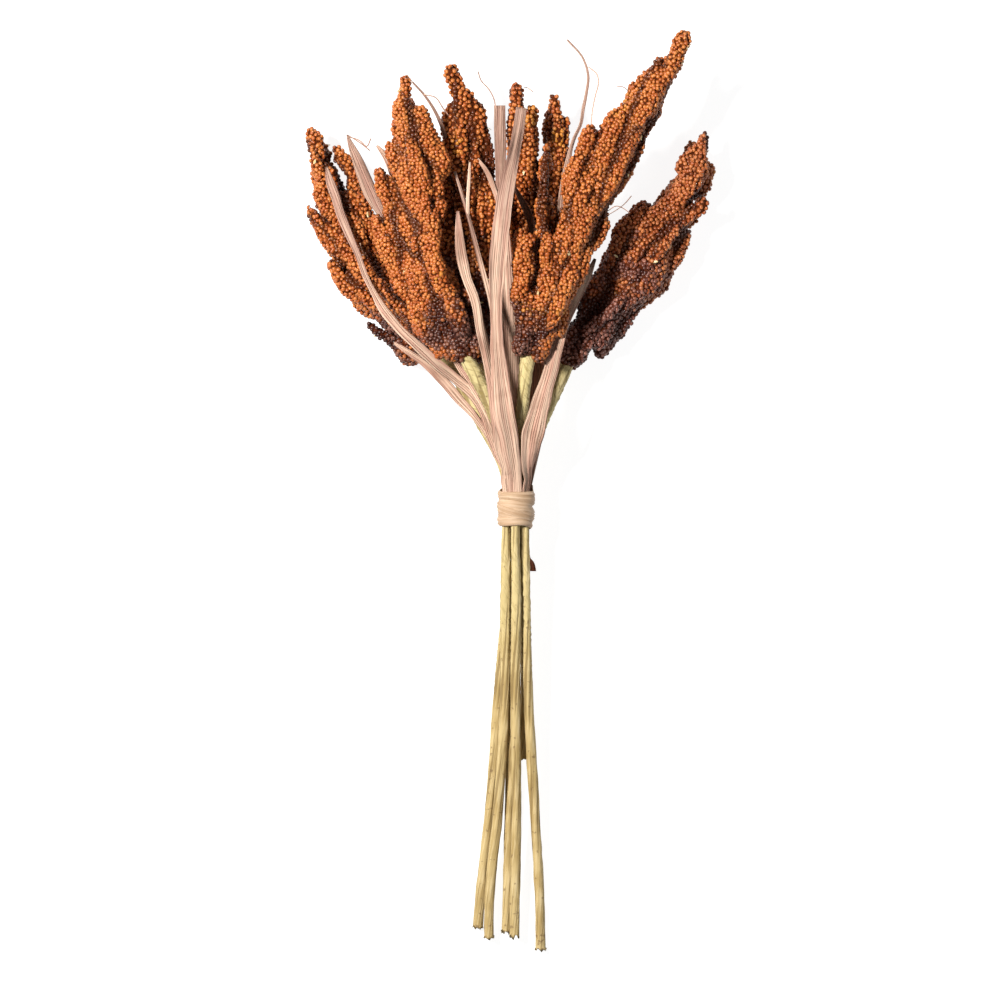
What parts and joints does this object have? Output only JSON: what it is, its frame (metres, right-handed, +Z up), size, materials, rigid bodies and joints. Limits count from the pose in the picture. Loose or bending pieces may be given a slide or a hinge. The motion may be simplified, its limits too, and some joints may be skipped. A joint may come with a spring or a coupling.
{
  "type": "tied bunch of dried millet heads",
  "caption": "Tied bunch of dried millet heads on wrapped stems with dry husk leaves, lying flat, for decoration.",
  "frame": {"origin": "on the table, under the middle of the bunch's bounding box", "axes": "+Y along the bunch from the cut stem ends to the tips of the seed heads; +Z up from the table; +X to the right, seen from above with the heads at the top"},
  "size_m": [0.2039, 0.4576, 0.0607],
  "materials": {
    "grain": "dry seed grains, orange-brown",
    "dark_grain": "dry seed grains, dark brown",
    "stem_wrap": "dry stem wrapped in yellow-green paper",
    "husk": "dry ribbed husk leaf, pinkish tan",
    "raffia": "flat raffia strip"
  },
  "bodies": {
    "root": {"head_front_left": "grain", "head_left": "grain", "head_front_right": "grain", "head_right": "dark_grain", "head_back_left": "grain", "head_back_middle": "grain", "stem_front_left": "stem_wrap", "stem_left": "stem_wrap", "stem_back_left": "stem_wrap", "stem_back_middle": "stem_wrap", "stem_right": "stem_wrap", "stem_front_right": "stem_wrap", "leaf_left_long": "husk", "leaf_left_low": "husk", "leaf_left_folded": "husk", "leaf_left_wisp": "husk", "leaf_centre_left": "husk", "leaf_centre_thin": "husk", "leaf_centre": "husk", "leaf_right_broad": "husk", "leaf_right_short": "husk", "leaf_right_wisp": "husk", "leaf_centre_back": "husk", "leaf_tail": "husk", "tie": "raffia"}
  },
  "joints": []
}
